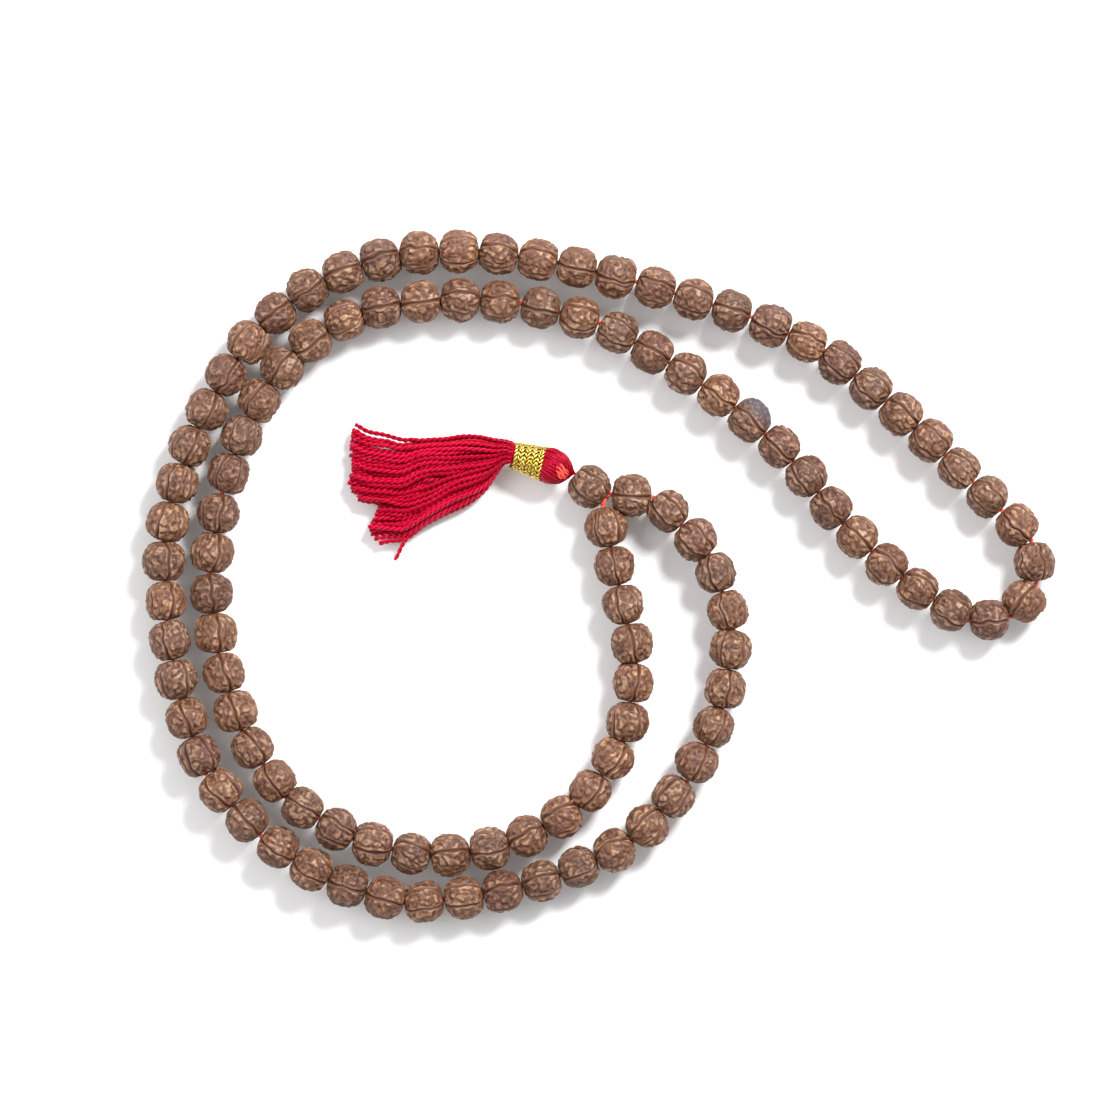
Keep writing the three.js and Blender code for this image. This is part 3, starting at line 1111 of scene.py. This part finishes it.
@dataclass
class TasselSkirt:
    """The fanned bundle of twisted crimson threads, settled under their own weight."""

    line: TasselLine
    head: str = "tassel_head_and_binding"
    body: str = "skirt"
    threads: int = 52
    radius: float = 0.48 * MM
    twist: float = 2.35 * MM
    samples: int = 96
    neck_turn: float = math.radians(40)
    sway: tuple[float, float] = (0.005, 0.028)
    sway_waves: tuple[float, float] = (4, 9)
    # Where the opening in the fan lies, down the threads and across them, and its size.
    parting_place: float = 0.57
    parting_length: float = 0.13
    parting_line: float = 0.54
    parting_width: float = 0.09
    edge_reach: float = 0.012
    # How the threads settle: steps, fall in each, push apart, gap in radii and pull back.
    settle_steps: int = 150
    fall: float = 0.016 * MM
    push: float = 0.32
    spacing: float = 1.86
    pull: float = 0.10
    held: float = 0.07
    bow: float = 3.0 * MM
    step: float = 0.27 * MM
    stations: tuple[Station, ...] = (
        Station((-14.34, 25.44), (-15.34, 22.08), 3.76, 1.75),
        Station((-15.7, 26.4), (-17.0, 22.0), 3.76, 2.2),
        Station((-17.1, 27.0), (-17.9, 21.6), 3.76, 2.5),
        Station((-19.4, 27.5), (-19.4, 19.3), 3.7, 2.9),
        Station((-22.3, 28.3), (-21.1, 16.5), 3.6, 3.1),
        Station((-26.1, 28.5), (-24.6, 13.8), 3.2, 2.8),
        Station((-29.9, 27.9), (-29.0, 11.9), 2.8, 2.4),
        Station((-33.7, 27.5), (-32.8, 10.0), 2.5, 2.0),
        Station((-37.5, 27.7), (-36.6, 7.1), 2.2, 1.7),
        Station((-40.4, 28.5), (-39.0, 6.8), 2.0, 1.5),
        Station((-43.8, 29.4), (-41.1, 6.4), 1.8, 1.3),
        Station((-45.7, 30.8), (-42.5, 6.0), 1.7, 1.2),
        Station((-47.6, 32.0), (-44.5, 5.4), 1.6, 1.1),
    )
    # How far left each thread reaches, by how far down the fan it lies.
    cut_shares: tuple[float, ...] = (0, 0.05, 0.12, 0.35, 0.5, 0.58, 0.62, 0.66, 0.76, 0.82, 0.9, 1)
    cut_places: tuple[float, ...] = (
        *(-45.2, -46.3, -47.3, -46.8, -47.4, -46.8, -44.6, -41.9),
        *(-42.6, -43.8, -42.9, -41.2),
    )
    loose_route: tuple[Triple, ...] = (
        (-24.5, 16.0, 1.6),
        (-29.0, 13.0, 0.9),
        (-33.0, 10.6, 0.7),
        (-35.8, 8.6, 0.6),
        (-37.2, 6.7, 0.55),
        (-38.0, 4.9, 0.55),
        (-38.6, 3.9, 0.55),
    )

    def build(self, finish: Material) -> int:
        """Lay every thread.

        Args:
            finish: The threads' finish.

        Returns:
            How many threads were laid.
        """
        bundles = {"upper": MeshParts(), "lower": MeshParts()}
        rng = np.random.default_rng(5)
        for path, girth, share in self.lay():
            parts = bundles["upper" if share < 0.52 else "lower"]
            yarn = Thread(self.radius, twist=self.twist * rng.uniform(0.93, 1.07), hand=-1)
            yarn.sweep(parts, path, girth, rng.uniform(0, 6), tone=rng.uniform(0.05, 0.95))
        loose = MeshParts()
        route = np.array(self.loose_route) * MM - np.array([*PLAN_CENTRE, 0.0])
        path = respaced(smooth_curve(route), 0.26 * MM)
        Thread(self.radius * 0.9, twist=self.twist, hand=-1).sweep(loose, path)
        bundles["loose"] = loose
        for name, parts in bundles.items():
            piece = put(f"skirt_threads_{name}", parts.mesh(f"skirt_threads_{name}"), finish)
            start, end = self.line.point(11.9 * MM), self.line.point(17.5 * MM)
            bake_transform(piece)
            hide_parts("tassel_skirt")
        return self.threads + 1

    def sections(self) -> tuple[Array, Array, Array, Array]:
        """The upper edge, lower edge, middle height and half depth at every sample."""
        rows = [(*s.upper, *s.lower, s.middle, s.depth) for s in self.stations]
        table = smooth_curve(rows, 30) * MM
        along = arc_lengths((table[:, :2] + table[:, 2:4]) / 2)
        places = np.linspace(0, along[-1], self.samples)
        table = np.stack([np.interp(places, along, column) for column in table.T], axis=1)
        shift = np.array(PLAN_CENTRE)
        return table[:, :2] - shift, table[:, 2:4] - shift, table[:, 4], table[:, 5]

    def lay(self) -> list[tuple[Array, Array, float]]:
        """Every thread's path, its girth along it and how far down the fan it lies."""
        rng = np.random.default_rng(11)
        upper, lower, middle, depth = self.sections()
        place = np.linspace(0, 1, self.samples)
        width = np.linalg.norm(lower - upper, axis=1)

        # The threads fill a disc at the neck and turn a little about each other on the way.
        order = np.arange(self.threads) + 0.5
        out = np.sqrt(order / self.threads)
        spin = order * math.pi * (3 - math.sqrt(5))
        turned = spin[:, None] + self.neck_turn * np.clip(1 - 2.2 * place, 0, 1)[None, :] ** 2
        u, v = out[:, None] * np.cos(turned), out[:, None] * np.sin(turned)
        share = 0.5 - 0.5 * u
        spans = self.sway, self.sway_waves, (0, 6)
        amount, waves, phase = (rng.uniform(*span, (self.threads, 1)) for span in spans)
        sway = amount * np.sin(waves * place + phase)
        share = share + sway * np.clip(place * 2.5 - 0.6, 0, 1)
        parting = np.exp(-(((place - self.parting_place) / self.parting_length) ** 2))
        parting = parting * 4 * share * (1 - share)
        share = share + self.parting_width * parting * np.tanh((share - self.parting_line) * 40)
        fan = np.clip((place - 0.55) / 0.25, 0, 1)
        cut = share[:, -1:]
        edge = -self.edge_reach * fan * ((cut > cut.min()) & (cut < cut.max()))
        share = edge + (1 - 2 * edge) * share

        girth = np.clip(0.62 + 1.6 * (place - 0.06), 0.62, 1.0)
        radius = self.radius * girth
        reach = (width - 2 * radius)[None, :]
        target = share * reach
        across = target.copy()
        height = middle + v * (depth - radius)
        held = int(self.held * self.samples)
        rest = across[:, :held].copy(), height[:, :held].copy()
        for _ in range(self.settle_steps):
            height = height - self.fall
            apart = across[:, None] - across[None], height[:, None] - height[None]
            gap = np.hypot(*apart) + 1e-9
            push = self.push * np.clip(self.spacing * radius - gap, 0, None) / gap
            across = across + (push * apart[0]).sum(1) + self.pull * (target - across)
            height = height + (push * apart[1]).sum(1)
            for values in (across, height):
                values[:, 1:-1] = 0.5 * values[:, 1:-1] + 0.25 * (values[:, :-2] + values[:, 2:])
            height = np.maximum(height, radius * 1.02)
            across[:, :held], height[:, :held] = rest

        laid = []
        inset = (across + radius) / width
        bow = self.bow * np.clip((place - 0.72) / 0.28, 0, 1) ** 1.5
        for k in range(self.threads):
            plan = upper + inset[k][:, None] * (lower - upper)
            plan[:, 0] -= bow * np.sin(math.pi * np.clip(inset[k], 0, 1))
            path = np.column_stack([plan, height[k]])
            end = np.interp(inset[k, -1], self.cut_shares, self.cut_places)
            end = end + rng.uniform(-0.35, 0.35)
            keep = path[:, 0] > end * MM - PLAN_CENTRE[0]
            keep[: self.samples // 2] = True
            stop = int(np.argmin(keep)) if not keep.all() else self.samples
            along = arc_lengths(path[:stop])
            fine = respaced(path[:stop], self.step)
            thickness = np.interp(arc_lengths(fine), along, girth[:stop])
            laid.append((fine, thickness, float(inset[k, -1])))
        return laid


# The studio.


@dataclass
class Studio:
    """A pale table under soft light, seen from straight above."""

    view_centre: tuple[float, float] = (-8.95 * MM - PLAN_CENTRE[0], 5.81 * MM - PLAN_CENTRE[1])
    view_width: float = 209.5 * MM
    camera_height: float = 0.95
    sensor: float = 36.0
    table_size: float = 3.0

    def place_camera(self) -> None:
        """Set the camera, looking straight down."""
        data = bpy.data.cameras.new("camera")
        data.sensor_width = self.sensor
        data.lens = self.sensor * (self.camera_height - AXIS_HEIGHT) / self.view_width
        data.clip_start = 0.01
        camera = bpy.data.objects.new("camera", data)
        camera.location = (*self.view_centre, self.camera_height)
        bpy.context.scene.collection.objects.link(camera)
        bpy.context.scene.camera = camera

    def place_lights(self) -> None:
        """A broad key from the upper right, a fill from the left and an even sky."""
        self.lamp("key_light", (0.30, 0.42, 0.62), 0.22, 10.0)
        self.lamp("fill_light", (-0.55, 0.10, 0.60), 0.60, 3.0)
        world = bpy.data.worlds.new("sky")
        world.use_nodes = True
        world.node_tree.nodes["Background"].inputs["Color"].default_value = (1.0, 1.0, 1.0, 1.0)
        world.node_tree.nodes["Background"].inputs["Strength"].default_value = 0.62
        bpy.context.scene.world = world
        bpy.context.scene.view_settings.view_transform = "Standard"

    @staticmethod
    def lamp(name: str, where: Triple, size: float, power: float) -> None:
        """One square soft light aimed at the middle of the part."""
        data = bpy.data.lights.new(name, "AREA")
        data.size = size
        data.energy = power
        lamp = bpy.data.objects.new(name, data)
        lamp.location = where
        lamp.rotation_euler = (-Vector(where)).to_track_quat("-Z", "Y").to_euler()
        bpy.context.scene.collection.objects.link(lamp)

    def lay_table(self, finish: Material) -> None:
        """Lay the table top, just under the lowest point of the part."""
        low = min(
            (piece.matrix_world @ Vector(corner)).z
            for piece in bpy.context.scene.objects
            if piece.type == "MESH" and "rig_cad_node" not in piece
            for corner in piece.bound_box
        )
        half = self.table_size / 2
        corners = [(-half, -half, low), (half, -half, low), (half, half, low), (-half, half, low)]
        mesh = bpy.data.meshes.new("table_top")
        mesh.from_pydata(corners, [], [(0, 1, 2, 3)])
        table = put("table_top", mesh, finish)


def main() -> None:
    """Build the mala piece by piece and light it."""
    logging.basicConfig(level=logging.INFO, format="%(name)s: %(message)s")
    studio = Studio()
    studio.place_camera()

    coral = FibreFinish(
        "coral_thread",
        shade=(0.25, 0.012, 0.010),
        body=(0.78, 0.065, 0.045),
        light=(1.0, 0.17, 0.12),
        glint=(1.0, 0.45, 0.40),
    ).build()
    crimson = FibreFinish(
        "crimson_thread",
        shade=(0.165, 0.0, 0.003),
        body=(0.31, 0.0003, 0.011),
        light=(0.54, 0.004, 0.038),
        glint=(1.0, 0.10, 0.24),
    ).build()
    dark_crimson = FibreFinish(
        "dark_crimson_thread",
        shade=(0.20, 0.0, 0.004),
        body=(0.30, 0.0002, 0.010),
        light=(0.50, 0.003, 0.034),
        glint=(1.0, 0.12, 0.26),
        rough=0.30,
        gloss=0.65,
    ).build()
    string = BeadString()
    string.build(coral)
    LOG.info("string laid, beads %.2f mm apart", string.pitch / MM)

    seed = SeedFinish("seed_skin").build()
    # A skin with a painted bluish shadow down one side.
    shadowed = SeedFinish("shadowed_seed_skin", painted_shadow=0.75).build()
    beads = CountingBeads(string)
    LOG.info("%d counting beads strung", beads.build(seed, shadowed))
    GuruBead().build(seed)
    LOG.info("guru bead set")

    line = TasselLine()
    TasselHead(line).build(dark_crimson, coral)
    LOG.info("tassel head wrapped")
    GoldBinding(line).build(MetalThreadFinish("gold_foil_thread").build())
    LOG.info("gold binding wound")
    LOG.info("%d skirt threads laid", TasselSkirt(line).build(crimson))

    bpy.context.view_layer.update()
    studio.place_lights()
    studio.lay_table(FloorFinish().build())


if __name__ == "__main__":
    main()
